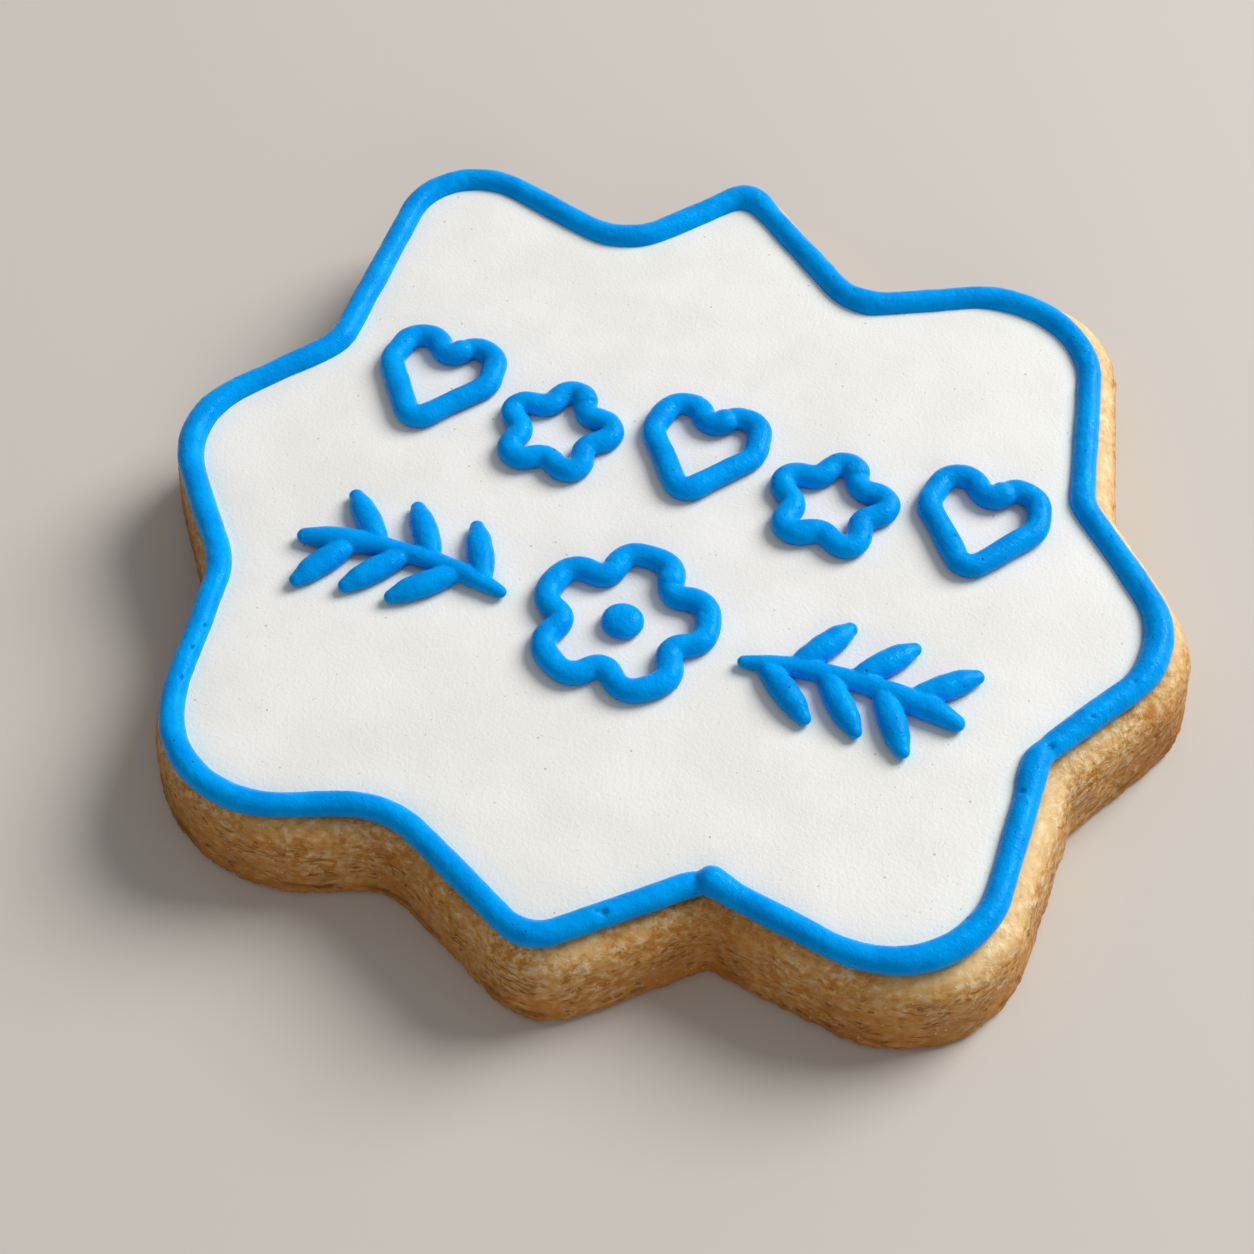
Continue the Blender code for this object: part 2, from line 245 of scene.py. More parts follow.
def left_normals(line, closed=True):
    """Unit vectors to the left of the line in its plane."""
    if closed:
        along = np.roll(line[:, :2], -1, axis=0) - np.roll(line[:, :2], 1, axis=0)
    else:
        along = np.gradient(line[:, :2], axis=0)
    along /= np.linalg.norm(along, axis=1, keepdims=True)
    return np.column_stack((-along[:, 1], along[:, 0]))


# Noise at many points.


def fractal(points, size, octaves=3, shift=0.0):
    """Smooth noise from about -1 to 1 with features of this size, which may differ by axis."""
    scaled = points / np.array(size) + shift
    return np.array([noise.fractal(Vector(point), 1.0, 2.0, octaves) for point in scaled])


def pits(points, spacing, radius, share, shift=0.0):
    """Scattered round pits: 1 in the middle of each, and 0 outside them."""
    depths = np.zeros(len(points))
    for i, point in enumerate(points / spacing + shift):
        distances, places = noise.voronoi(Vector(point))
        if noise.cell(places[0] * 7.7) < share:
            depths[i] = max(0.0, 1 - distances[0] * spacing / radius)
    return np.sqrt(depths)


def between(low, high, values):
    """0 below low, 1 above high, and a smooth step between them."""
    share = np.clip((values - low) / (high - low), 0, 1)
    return share * share * (3 - 2 * share)


# Meshes.


def lofted_faces(levels, count, closed=True):
    """Four-sided faces between rings of points, level by level."""
    ring = np.arange(count)
    after = np.roll(ring, -1)
    faces = []
    for level in range(levels - 1):
        low = level * count
        high = low + count
        faces += np.column_stack((low + ring, low + after, high + after, high + ring)).tolist()
    return faces


def mesh_object(name, points, faces, node=None):
    mesh = bpy.data.meshes.new(name)
    mesh.from_pydata(np.asarray(points).tolist(), [], faces)
    mesh.shade_smooth()
    thing = bpy.data.objects.new(name, mesh)
    bpy.context.scene.collection.objects.link(thing)
    return thing


def stands_for(thing, node, material):
    thing.data.materials.clear()
    thing.data.materials.append(material)
    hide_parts(node)
    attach(thing, "root")


def coordinates(mesh):
    flat = np.empty(len(mesh.vertices) * 3)
    mesh.vertices.foreach_get("co", flat)
    return flat.reshape(-1, 3)


def normals(mesh):
    flat = np.empty(len(mesh.vertices) * 3)
    mesh.vertex_normals.foreach_get("vector", flat)
    return flat.reshape(-1, 3)


def set_coordinates(mesh, points):
    mesh.vertices.foreach_set("co", np.asarray(points, np.float32).ravel())
    mesh.update()


def add_values(mesh, name, values):
    """Values at the vertices, for the material to read."""
    attribute = mesh.attributes.new(name, "FLOAT", "POINT")
    attribute.data.foreach_set("value", np.asarray(values, np.float32))


# Materials.


def add_node(tree, kind, inputs=None, **settings):
    """A shader node with its settings and its inputs, each a value or another node's output."""
    made = tree.nodes.new("ShaderNode" + kind)
    for name, value in settings.items():
        setattr(made, name, value)
    for name, value in (inputs or {}).items():
        socket = made.inputs[name]
        if isinstance(value, bpy.types.NodeSocket):
            tree.links.new(value, socket)
        else:
            socket.default_value = value
    return made


def new_material(name, roughness, gloss=0.5):
    material = bpy.data.materials.new(name)
    material.use_nodes = True
    shader = material.node_tree.nodes["Principled BSDF"]
    shader.inputs["Roughness"].default_value = roughness
    shader.inputs["Specular IOR Level"].default_value = gloss
    return material, material.node_tree, shader


def place_of(tree):
    return add_node(tree, "TexCoord").outputs["Object"]


def noise_of(tree, place, size, detail=3.0, roughness=0.5):
    texture = add_node(
        tree, "TexNoise", {"Vector": place, "Scale": 1 / size, "Detail": detail, "Roughness": roughness}
    )
    return texture.outputs["Fac"]


def mapped(tree, value, low, high, to_low=0.0, to_high=1.0):
    """The value's range from low to high made to_low to to_high, smoothly, and held outside it."""
    ranged = add_node(
        tree,
        "MapRange",
        {"Value": value, "From Min": low, "From Max": high, "To Min": to_low, "To Max": to_high},
        interpolation_type="SMOOTHSTEP",
    )
    return ranged.outputs["Result"]


def maths(tree, operation, first, second):
    return add_node(tree, "Math", {0: first, 1: second}, operation=operation).outputs[0]


def mixed(tree, share, first, second, blend="MIX"):
    """Two colours mixed, each an output or three numbers."""
    mix = add_node(tree, "Mix", data_type="RGBA", blend_type=blend)
    for socket, value in ((mix.inputs[0], share), (mix.inputs[6], first), (mix.inputs[7], second)):
        if isinstance(value, bpy.types.NodeSocket):
            tree.links.new(value, socket)
        elif isinstance(value, tuple):
            socket.default_value = (*value, 1)
        else:
            socket.default_value = value
    return mix.outputs[2]


def bumped(tree, height, distance, normal=None):
    inputs = {"Height": height, "Distance": distance, "Strength": 1.0}
    if normal:
        inputs["Normal"] = normal
    return add_node(tree, "Bump", inputs).outputs["Normal"]


def specks(tree, place, spacing, radius, share):
    """1 inside scattered specks, each in a share of the cells that are this far apart."""
    cells = add_node(tree, "TexVoronoi", {"Vector": place, "Scale": 1 / spacing})
    near = mapped(tree, cells.outputs["Distance"], radius / spacing, 0.5 * radius / spacing)
    red = add_node(tree, "SeparateColor", {"Color": cells.outputs["Color"]}).outputs["Red"]
    chosen = maths(tree, "LESS_THAN", red, share)
    return maths(tree, "MULTIPLY", near, chosen)


def value_of(tree, name):
    return add_node(tree, "Attribute", attribute_name=name).outputs["Fac"]


def dough_material():
    material, tree, shader = new_material("baked_dough", 0.6, 0.28)
    place = place_of(tree)
    # Browning, plus painted shade on the side away from the key light.
    browned_and_shaded = value_of(tree, "browned_and_shaded")
    side = value_of(tree, "side")
    lit_rim = value_of(tree, "lit_rim")
    warp = add_node(tree, "TexNoise", {"Vector": place, "Scale": 1 / (1.8 * MM), "Detail": 2.0})
    off = add_node(tree, "VectorMath", {0: warp.outputs["Color"], 1: (0.5, 0.5, 0.5)}, operation="SUBTRACT")
    bent = add_node(tree, "VectorMath", {0: off.outputs[0], "Scale": 0.9 * MM}, operation="SCALE")
    bent = add_node(tree, "VectorMath", {0: place, 1: bent.outputs[0]}, operation="ADD").outputs[0]

    lumps = noise_of(tree, stretched(tree, bent, 2.6 * MM, 1.5 * MM), 1.0, 3.0, 0.5)
    cells = add_node(
        tree,
        "TexVoronoi",
        {"Vector": stretched(tree, bent, 1.25 * MM, 0.85 * MM), "Scale": 1.0, "Smoothness": 0.35},
        feature="SMOOTH_F1",
    )
    crumb = mapped(tree, cells.outputs["Distance"], 0.75, 0.10)
    fine = noise_of(tree, stretched(tree, bent, 0.72 * MM, 0.48 * MM, 7.0), 1.0, 4.0, 0.66)
    relief = maths(tree, "ADD", maths(tree, "MULTIPLY", lumps, 0.32), maths(tree, "MULTIPLY", crumb, 0.10))
    coarse = mapped(tree, noise_of(tree, place, 7 * MM, 2.0), 0.40, 0.62, 0.34, 0.80)
    fine_part = maths(tree, "MULTIPLY", maths(tree, "SUBTRACT", fine, 0.5), coarse)
    relief = maths(tree, "ADD", maths(tree, "ADD", relief, fine_part), 0.29)
    calm = mapped(tree, lit_rim, 0.0, 1.0, 1.0, 0.62)
    relief = maths(tree, "ADD", maths(tree, "MULTIPLY", maths(tree, "SUBTRACT", relief, 0.51), calm), 0.51)
    folds = noise_of(tree, stretched(tree, bent, 4.2 * MM, 1.1 * MM, 4.0), 1.0, 2.0, 0.5)
    folds = add_node(tree, "Math", {0: maths(tree, "SUBTRACT", folds, 0.5)}, operation="ABSOLUTE").outputs[0]
    creases = mapped(tree, folds, 0.035, 0.0)
    patches = mapped(tree, noise_of(tree, place, 3.6 * MM, 2.0), 0.50, 0.62)
    creases = maths(tree, "MULTIPLY", maths(tree, "MULTIPLY", creases, patches), side)
    dashes = specks(tree, stretched(tree, bent, 1.25 * MM, 0.55 * MM), 1.0, 0.32, 0.40)
    dashes = maths(tree, "MULTIPLY", dashes, side)
    sugar_glints = specks(tree, place, 0.85 * MM, 0.12 * MM, 0.45)
    lip = value_of(tree, "lip")

    # Partly painted light: darker in the relief's hollows and paler on its peaks, over the crumb's own tone.
    colour = mixed(tree, mapped(tree, relief, 0.38, 0.50), (0.52, 0.235, 0.048), (0.76, 0.475, 0.175))
    colour = mixed(tree, mapped(tree, relief, 0.49, 0.60), colour, (0.91, 0.77, 0.49))
    # Painted highlight: the top edge made paler on the side turned to the key light.
    colour = mixed(tree, maths(tree, "MULTIPLY", lit_rim, 0.40), colour, (0.87, 0.73, 0.45))
    blotches = maths(tree, "ADD", maths(tree, "MULTIPLY", lumps, 1.2), 0.5)
    # Browning, and painted shade on the side away from the key light, mixed in as toasted colour.
    toasted_and_shaded = maths(tree, "MULTIPLY", browned_and_shaded, blotches)
    toasted_and_shaded = maths(tree, "SUBTRACT", toasted_and_shaded, maths(tree, "MULTIPLY", fine, 0.3))
    colour = mixed(tree, mapped(tree, toasted_and_shaded, -0.25, 1.33), colour, (0.39, 0.140, 0.014))
    # Painted shade in the creases and dashes, stronger where the dough is browner or on the side away from the key
    # light.
    crack_shade = mapped(tree, browned_and_shaded, 0.3, 0.9, 0.30, 0.65)
    colour = mixed(tree, maths(tree, "MULTIPLY", creases, crack_shade), colour, (0.23, 0.085, 0.013))
    colour = mixed(tree, maths(tree, "MULTIPLY", dashes, crack_shade), colour, (0.17, 0.065, 0.012))
    # Painted shade in the groove over the foot's lip.
    colour = mixed(tree, maths(tree, "MULTIPLY", lip, 0.75), colour, (0.17, 0.065, 0.012))
    # Pale sugar crystals, partly painted glints.
    colour = mixed(tree, maths(tree, "MULTIPLY", sugar_glints, 0.55), colour, (0.97, 0.85, 0.63))
    tree.links.new(colour, shader.inputs["Base Color"])

    height = maths(tree, "MULTIPLY", relief, 0.38 * MM)
    height = maths(tree, "ADD", height, maths(tree, "MULTIPLY", sugar_glints, 0.05 * MM))
    height = maths(tree, "SUBTRACT", height, maths(tree, "MULTIPLY", creases, 0.11 * MM))
    height = maths(tree, "SUBTRACT", height, maths(tree, "MULTIPLY", dashes, 0.10 * MM))
    tree.links.new(bumped(tree, height, 1.0), shader.inputs["Normal"])
    return material


def stretched(tree, place, along, up, shift=0.0):
    """Coordinates in which a pattern is this long along the dough and this tall."""
    scale = (1 / along, 1 / along, 1 / up)
    made = add_node(tree, "Mapping", {"Vector": place, "Scale": scale, "Location": (shift, shift, shift)})
    return made.outputs["Vector"]


def white_material():
    material, tree, shader = new_material("white_icing", 0.5, 0.35)
    place = place_of(tree)
    cloud = mapped(tree, noise_of(tree, place, 8 * MM, 4.0), 0.35, 0.65)
    colour = mixed(tree, cloud, (0.838, 0.834, 0.808), (0.883, 0.879, 0.858))
    # A cyan halo next to the blue icing: a little blue dye bled into the white, and painted blue reflection and shade.
    colour = mixed(tree, value_of(tree, "dye_bleed_and_blue_shade"), colour, (0.66, 0.87, 0.84))
    dust = specks(tree, place, 1.7 * MM, 0.15 * MM, 0.34)
    colour = mixed(tree, maths(tree, "MULTIPLY", dust, 0.55), colour, (0.30, 0.25, 0.20))
    motes = specks(tree, place, 0.9 * MM, 0.10 * MM, 0.36)
    colour = mixed(tree, maths(tree, "MULTIPLY", motes, 0.34), colour, (0.40, 0.36, 0.30))
    tree.links.new(colour, shader.inputs["Base Color"])
    grain = noise_of(tree, place, 0.36 * MM, 4.0, 0.65)
    grain = maths(tree, "SUBTRACT", grain, maths(tree, "MULTIPLY", motes, 0.3))
    tree.links.new(bumped(tree, grain, 0.045 * MM), shader.inputs["Normal"])
    return material


def blue_material():
    material, tree, shader = new_material("blue_icing", 0.20, 0.10)
    shader.inputs["Specular Tint"].default_value = (0.05, 0.70, 1.0, 1)
    place = place_of(tree)
    cloud = mapped(tree, noise_of(tree, place, 3 * MM, 3.0), 0.35, 0.65)
    colour = mixed(tree, cloud, (0.0, 0.285, 0.83), (0.0, 0.350, 0.95))
    # Painted shade: darker towards the foot of the piping.
    colour = mixed(tree, value_of(tree, "low"), colour, (0.0, 0.150, 0.46))
    big = specks(tree, place, 2.6 * MM, 0.20 * MM, 0.40)
    small = specks(tree, place, 1.25 * MM, 0.11 * MM, 0.42)
    # Pits, burst bubbles and dents, darkened with painted shade.
    pits = maths(tree, "MAXIMUM", maths(tree, "MAXIMUM", big, small), value_of(tree, "shaded_pits"))
    colour = mixed(tree, maths(tree, "MULTIPLY", pits, 0.62), colour, (0.0, 0.075, 0.30))
    tree.links.new(colour, shader.inputs["Base Color"])
    ripple = noise_of(tree, place, 0.9 * MM, 3.0, 0.6)
    grain = noise_of(tree, place, 0.22 * MM, 2.0)
    height = maths(tree, "ADD", maths(tree, "MULTIPLY", ripple, 0.12 * MM), maths(tree, "MULTIPLY", grain, 0.034 * MM))
    dried = mapped(tree, noise_of(tree, place, 1.1 * MM, 4.0, 0.6), 0.45, 0.57, 0.34, 0.09)
    tree.links.new(dried, shader.inputs["Roughness"])
    height = maths(tree, "SUBTRACT", height, maths(tree, "MULTIPLY", pits, 0.07 * MM))
    tree.links.new(bumped(tree, height, 1.0), shader.inputs["Normal"])
    return material


# Dough: the wall's outline carried up a profile, with the relief of baked dough.


def quarter_round(margin, height, rounding, first, steps):
    across, up = rounding
    angles = [first + math.pi / 2 * step / steps for step in range(steps + 1)]
    return [(margin + across * math.cos(a), height + up * math.sin(a)) for a in angles]


def dough_profile():
    """(offset from the wall's outline, height), from under the dough to under the bead."""
    foot = DOUGH_FOOT_MARGIN - DOUGH_RIM_MARGIN
    line = [(-0.0044, 0), (-0.0032, 0), (-0.0022, 0), (-0.0014, 0), (-0.0008, 0)]
    rounding = DOUGH_FOOT_ROUNDING
    line += quarter_round(foot - rounding, rounding, (rounding, rounding), -math.pi / 2, 6)
    across, up = DOUGH_RIM_ROUNDING
    line += quarter_round(-across, DOUGH_THICKNESS - up, DOUGH_RIM_ROUNDING, 0, 16)
    line += [(-0.0029, DOUGH_THICKNESS), (-0.0034, DOUGH_THICKNESS)]
    count = round(0.0178 / DOUGH_GRAIN)
    return resampled(line, count, closed=False)


def dough(dough_place):
    outline = resampled(plaque(DOUGH_RIM_MARGIN, DOUGH_CHANGES), DOUGH_STEPS)
    outline = smoothed(outline, 2)
    out = -smoothed(left_normals(outline), 5)
    profile = dough_profile()
    tilt = np.gradient(profile, axis=0)
    tilt /= np.linalg.norm(tilt, axis=1, keepdims=True)
    rings = []
    ways = []
    for (offset, height), (across, up) in zip(profile, tilt):
        flat = outline + out * offset
        rings.append(np.column_stack((flat, np.full(DOUGH_STEPS, height))))
        ways.append(np.column_stack((out * up, np.full(DOUGH_STEPS, -across))))
    faces = lofted_faces(len(profile), DOUGH_STEPS)
    faces.append(list(range((len(profile) - 1) * DOUGH_STEPS, len(profile) * DOUGH_STEPS)))
    inner, inner_faces, shares = underside(rings[0], len(profile) * DOUGH_STEPS)
    faces += inner_faces
    points = np.vstack((*rings, inner))
    points[:, :2] += dough_place
    ways = np.vstack((*ways, np.tile((0, 0, -1.0), (len(inner), 1))))
    offsets = np.concatenate((np.repeat(profile[:, 0], DOUGH_STEPS), np.full(len(inner), -1.0)))
    heights = points[:, 2].copy()
    relief = dough_relief(points, heights, offsets)
    points += ways * relief[:, None]
    points[:, 2] = np.maximum(points[:, 2], 0)
    thing = mesh_object("dough_body", points, faces)
    outs = [out] * len(profile) + [out[::UNDERSIDE_STEP] * share for share in shares]
    browned_and_shaded = dough_browning_and_shade(points, heights, np.vstack(outs))
    # Browning plus painted shade, for the material.
    add_values(thing.data, "browned_and_shaded", browned_and_shaded)
    add_values(thing.data, "side", between(0.0, 0.0010, heights) * between(0.0078, 0.0060, heights))
    # The top edge on the side turned to the key light, which the material paints paler as painted highlight.
    add_values(thing.data, "lit_rim", between(0.0060, 0.0070, heights) * between(0.5, 0.2, browned_and_shaded))
    add_values(thing.data, "lip", dough_lip(points, heights))
    stands_for(thing, "dough", dough_material())


def underside(edge, first):
    """Rings of points inside the flat underside's edge, whose own points come first, and their faces."""
    coarse = edge[::UNDERSIDE_STEP]
    count = len(coarse)
    shares = np.linspace(0, 1, UNDERSIDE_RINGS + 2)[1:-1]
    points = np.vstack([coarse * (share, share, 1) for share in shares])
    faces = [[first + corner for corner in face] for face in lofted_faces(UNDERSIDE_RINGS, count)]
    faces.append([first + corner for corner in reversed(range(count))])
    last = first + (UNDERSIDE_RINGS - 1) * count
    for i in range(count):
        outer = [(UNDERSIDE_STEP * i + step) % len(edge) for step in range(UNDERSIDE_STEP, -1, -1)]
        faces.append([last + i, last + (i + 1) % count, *outer])
    return points, faces, shares


def dough_relief(points, heights, offsets):
    """How far the dough stands out at each point, given how far it is from the wall's outline."""
    edge = between(-0.0042, -0.0014, offsets)
    wave = 0.10 * MM * fractal(points, 14 * MM, 2)
    lumps = 0.13 * MM * fractal(points, (3.0 * MM, 3.0 * MM, 1.9 * MM), 3, 5.0)
    layers = 0.07 * MM * fractal(points, (3.5 * MM, 3.5 * MM, 0.9 * MM), 2, 11.0)
    wall = between(0.0, 0.0012, heights) * between(0.0082, 0.0060, heights)
    crumbs = 0.045 * MM * fractal(points, 0.8 * MM, 2, 31.0)
    foot = between(0.0012, 0.0002, heights)
    notches = 0.17 * MM * fractal(points, (1.5 * MM, 1.5 * MM, 5 * MM), 3, 41.0)
    ragged = foot * (notches + 0.17 * MM * fractal(points, (0.6 * MM, 0.6 * MM, 2 * MM), 2, 43.0) + 0.05 * MM) * edge
    groove = 0.16 * MM * dough_lip(points, heights)
    tips = between(0.046, 0.056, np.hypot(points[:, 0], points[:, 1]))
    crumbs *= 0.3 + 0.7 * edge
    return wave + lumps * (0.25 + 0.75 * wall) + layers * wall * (1 + 1.2 * tips) + crumbs + ragged - groove


def dough_lip(points, heights):
    """The dark line, here and there, over the thin lip at the dough's foot: a shallow groove, whose darkness is
    painted shade.
    """
    patchy = between(-0.1, 0.35, fractal(points, (4 * MM, 4 * MM, 8 * MM), 2, 53.0))
    place = 0.00125 + 0.0003 * fractal(points, (3 * MM, 3 * MM, 20 * MM), 2, 57.0)
    return np.exp(-(((heights - place) / 0.00030) ** 2)) * patchy


def dough_browning_and_shade(points, heights, out):
    """How brown the dough is made: browning, most at its foot and underside and at the tips of the lobes, and painted
    shade on the side turned away from the key light, more in its valleys.
    """
    base = between(0.0018, 0.0002, heights)
    reach = np.hypot(points[:, 0], points[:, 1]) + 1e-6
    tips = between(0.044, 0.056, reach)
    middle = between(0.0086, 0.0058, heights)
    # Painted shade: walls turned away from the key light are made browner.
    away = 0.5 - 0.5 * (0.60 * out[:, 0] + 0.80 * out[:, 1])
    wall = between(0.0085, 0.0062, heights)
    lower = between(0.0066, 0.0018, heights)
    # Painted shade in the valleys of the outline, on the side away from the key light.
    valley_shade = between(0.0465, 0.0425, reach)
    browned_and_shaded = 0.22 * base + 0.38 * wall + 0.20 * lower + tips * (0.06 + 0.24 * middle)
    for x, y, size, amount in DOUGH_COLOUR_PATCHES:
        off = np.hypot(points[:, 0] - x * MM, points[:, 1] - y * MM)
        browned_and_shaded = browned_and_shaded + amount * np.exp(-(off / (size * MM)) ** 2)
    return np.clip(browned_and_shaded + away * (0.50 - 0.25 * wall + 0.18 * valley_shade), 0, 1.4)


# White icing: one flooded layer that runs up to the bead and under it.


def flood(icing_place, piped):
    line = resampled(plaque(-0.0004, {}), FLOOD_STEPS)
    shares = 1 - np.linspace(0, 1, FLOOD_RINGS + 1)[:-1]
    shares = np.sin(shares * math.pi / 2) ** 0.8
    edge_depth = 0.0012
    rings = [np.column_stack((line, np.full(FLOOD_STEPS, FLOOD_TOP - edge_depth)))]
    for share in shares:
        rings.append(np.column_stack((line * share, np.full(FLOOD_STEPS, FLOOD_TOP))))
    points = np.vstack(rings)
    top = points[FLOOD_STEPS:]
    inside = np.concatenate([np.hypot(*(line * (1 - share)).T) for share in shares])
    edge = np.exp(-np.maximum(inside - 0.0009, 0) / (1.6 * MM))
    top[:, 2] -= 0.14 * MM * edge
    points[:, :2] += icing_place
    top[:, 2] += 0.06 * MM * fractal(top, 13 * MM, 2, 2.0) + 0.012 * MM * fractal(top, 3 * MM, 2, 7.0)
    faces = lofted_faces(FLOOD_RINGS + 1, FLOOD_STEPS)
    faces.append(list(range(len(points) - FLOOD_STEPS, len(points))))
    faces.append(list(range(FLOOD_STEPS))[::-1])
    thing = mesh_object("flooded_icing", points, faces)
    tree = KDTree(len(piped))
    for i, (x, y) in enumerate(piped):
        tree.insert((x, y, 0), i)
    tree.balance()
    away = np.array([tree.find((x, y, 0))[2] for x, y in top[:, :2]])
    # Nearness to the blue icing, for the halo of dye bleed and painted blue reflection and shade.
    dye_bleed_and_blue_shade = 0.6 * np.exp(-np.maximum(away - 0.0009, 0) / (0.45 * MM))
    dye_bleed_and_blue_shade += 0.32 * np.exp(-np.maximum(inside - 0.0013, 0) / (0.8 * MM))
    add_values(thing.data, "dye_bleed_and_blue_shade", np.concatenate((np.ones(FLOOD_STEPS), np.minimum(dye_bleed_and_blue_shade, 1))))
    stands_for(thing, "white_icing", white_material())


# Piped blue icing: tubes along lines, merged and smoothed where they meet.

SECTION = 20


def section(width, height, foot_angle):
    """(across, up) round a piped line's section, with its flat foot at 0."""
    half_height = height / (1 - math.sin(foot_angle))
    angles = np.linspace(0, 2 * math.pi, SECTION, endpoint=False)
    up = half_height * (np.sin(angles) - math.sin(foot_angle))
    return np.column_stack((width / 2 * np.cos(angles), np.maximum(up, 0)))


def tube(line, feet, swellings, shape, caps=True):
    """Points and faces of a tube along an open line, with rounded ends."""
    side = left_normals(line, closed=False)
    along = np.column_stack((side[:, 1], -side[:, 0]))
    radius = shape[:, 0].max()
    stations = []
    for angle in (80, 60, 40, 20):
        a = math.radians(angle)
        back = line[0] - along[0] * radius * swellings[0] * math.sin(a)
        stations.append((back, side[0], feet[0], swellings[0] * math.cos(a)))
    stations += list(zip(line, side, feet, swellings))
    for angle in (20, 40, 60, 80):
        a = math.radians(angle)
        ahead = line[-1] + along[-1] * radius * swellings[-1] * math.sin(a)
        stations.append((ahead, side[-1], feet[-1], swellings[-1] * math.cos(a)))
    points = []
    middle = shape[:, 1].max() * 0.42
    for place, across, foot, swelling in stations:
        flat = place + np.outer(shape[:, 0] * swelling, across)
        up = foot + middle + (shape[:, 1] - middle) * swelling
        points.append(np.column_stack((flat, up)))
    faces = [face[::-1] for face in lofted_faces(len(stations), SECTION)]
    faces.append(list(range(SECTION)))
    total = SECTION * len(stations)
    faces.append(list(range(total - SECTION, total))[::-1])
    return np.vstack(points), faces


def merged(name, tubes, voxel, smoothing):
    """One smooth skin round all the tubes."""
    points = []
    faces = []
    for tube_points, tube_faces in tubes:
        first = sum(len(p) for p in points)
        points.append(tube_points)
        faces += [[first + corner for corner in face] for face in tube_faces]
    thing = mesh_object(name, np.vstack(points), faces)
    remesh = thing.modifiers.new("remesh", "REMESH")
    remesh.mode = "VOXEL"
    remesh.voxel_size = voxel
    remesh.use_smooth_shade = True
    smooth = thing.modifiers.new("smooth", "SMOOTH")
    smooth.factor = 0.5
    smooth.iterations = smoothing
    graph = bpy.context.evaluated_depsgraph_get()
    skin = bpy.data.meshes.new_from_object(thing.evaluated_get(graph))
    thing.modifiers.clear()
    old = thing.data
    thing.data = skin
    bpy.data.meshes.remove(old)
    skin.name = name
    return thing


def roughen(thing, shift, dents=()):
    """Small ripples, wobbles and dents of icing pushed through a nozzle by hand."""
    mesh = thing.data
    points = coordinates(mesh)
    swell = 0.05 * MM * fractal(points, 3.0 * MM, 2, shift) + 0.018 * MM * fractal(points, 0.9 * MM, 2, shift)
    shaded_pits = np.zeros(len(points))
    for place, reach, depth in dents:
        dent = np.exp(-(np.hypot(*(points[:, :2] - place).T) / reach) ** 2)
        swell -= depth * dent
        shaded_pits = np.maximum(shaded_pits, between(0.25, 0.9, dent))
    set_coordinates(mesh, points + normals(mesh) * swell[:, None])
    # Where the dents are, which the material darkens as painted shade.
    add_values(mesh, "shaded_pits", shaded_pits)
    # Darker towards the foot, for painted shade under the rounded icing.
    heights = points[:, 2] - points[:, 2].min()
    add_values(mesh, "low", between(0.55, 0.05, heights / heights.max()))


def wobbled(line, amount, size, shift):
    """The line with its points moved a little to the side, as an unsteady hand does."""
    flat = np.column_stack((line, np.zeros(len(line))))
    return line + left_normals(line, closed=False) * (amount * fractal(flat, size, 2, shift))[:, None]


def corner_swellings():
    swellings = []
    for steps, most in ((LOBE_ARC, LOBE_SWELLING), (VALLEY_ARC, VALLEY_SWELLING)) * len(LOBES):
        swellings += [1 + (most - 1) * math.sin(math.pi * step / steps) for step in range(steps + 1)]
    return swellings


def round_table(line, table):
    """The table's values at each point's direction from the middle, read at every fifteenth degree."""
    degrees = np.degrees(np.arctan2(line[:, 1], line[:, 0])) % 360
    return np.interp(degrees, np.arange(25) * 15, table + table[:1])


def border(icing_place, blue):
    count = 1500
    line = plaque(0, {})
    line = [(*point, swelling) for point, swelling in zip(line, corner_swellings())]
    line = smoothed(resampled(line, count), 6)
    head = np.array(polar(*HEAD_PLACE))
    start = np.argmin(np.hypot(*(line[:, :2] - head).T))
    line = np.roll(line, -start, axis=0)
    swellings = line[:, 2]
    line = line[:, :2]
    spacing = np.hypot(*(line[1] - line[0]))
    along = np.arange(count) * spacing
    left = along[-1] - along
    nearness = np.exp(-(along / 0.0016) ** 2)
    line = line + (head - line[0]) * nearness[:, None]
    line[:40] = smoothed(line[:60], 6, closed=False)[:40]
    swellings = swellings + 0.14 * nearness - 0.12 * np.exp(-(left / 0.0012) ** 2)
    flat = np.column_stack((line, np.zeros(count)))
    swellings = (swellings + 0.05 * fractal(flat, 7 * MM, 2, 3.0)) * (1 + BORDER_TAPER * line[:, 1])
    swellings *= 1 + round_table(line, BORDER_WIDTHS) / 100
    for x, y, reach, share in BORDER_SWELLS:
        off = np.hypot(line[:, 0] - x * MM, line[:, 1] - y * MM)
        swellings *= 1 + share * np.exp(-(off / (reach * MM)) ** 2)
    line = wobbled(line, 0.07 * MM, 6 * MM, 9.0)
    line = line - left_normals(line, closed=False) * round_table(line, BORDER_SHIFTS)[:, None] * MM / 100
    feet = BORDER_FOOT + 0.0004 * nearness - 0.0001 * np.exp(-(left / 0.0015) ** 2)
    shape = section(BORDER_WIDTH, BORDER_TOP - BORDER_FOOT, BORDER_FOOT_ANGLE)
    rope = tube(line[: count - 4] + icing_place, feet[: count - 4], swellings[: count - 4], shape)
    thing = merged("border_bead", [rope], BORDER_VOXEL, 3)
    dents = [(icing_place + np.array((x, y)) * MM, reach * MM, depth * MM) for x, y, reach, depth in BORDER_DENTS]
    roughen(thing, 1.0, dents)
    stands_for(thing, "blue_border", blue)


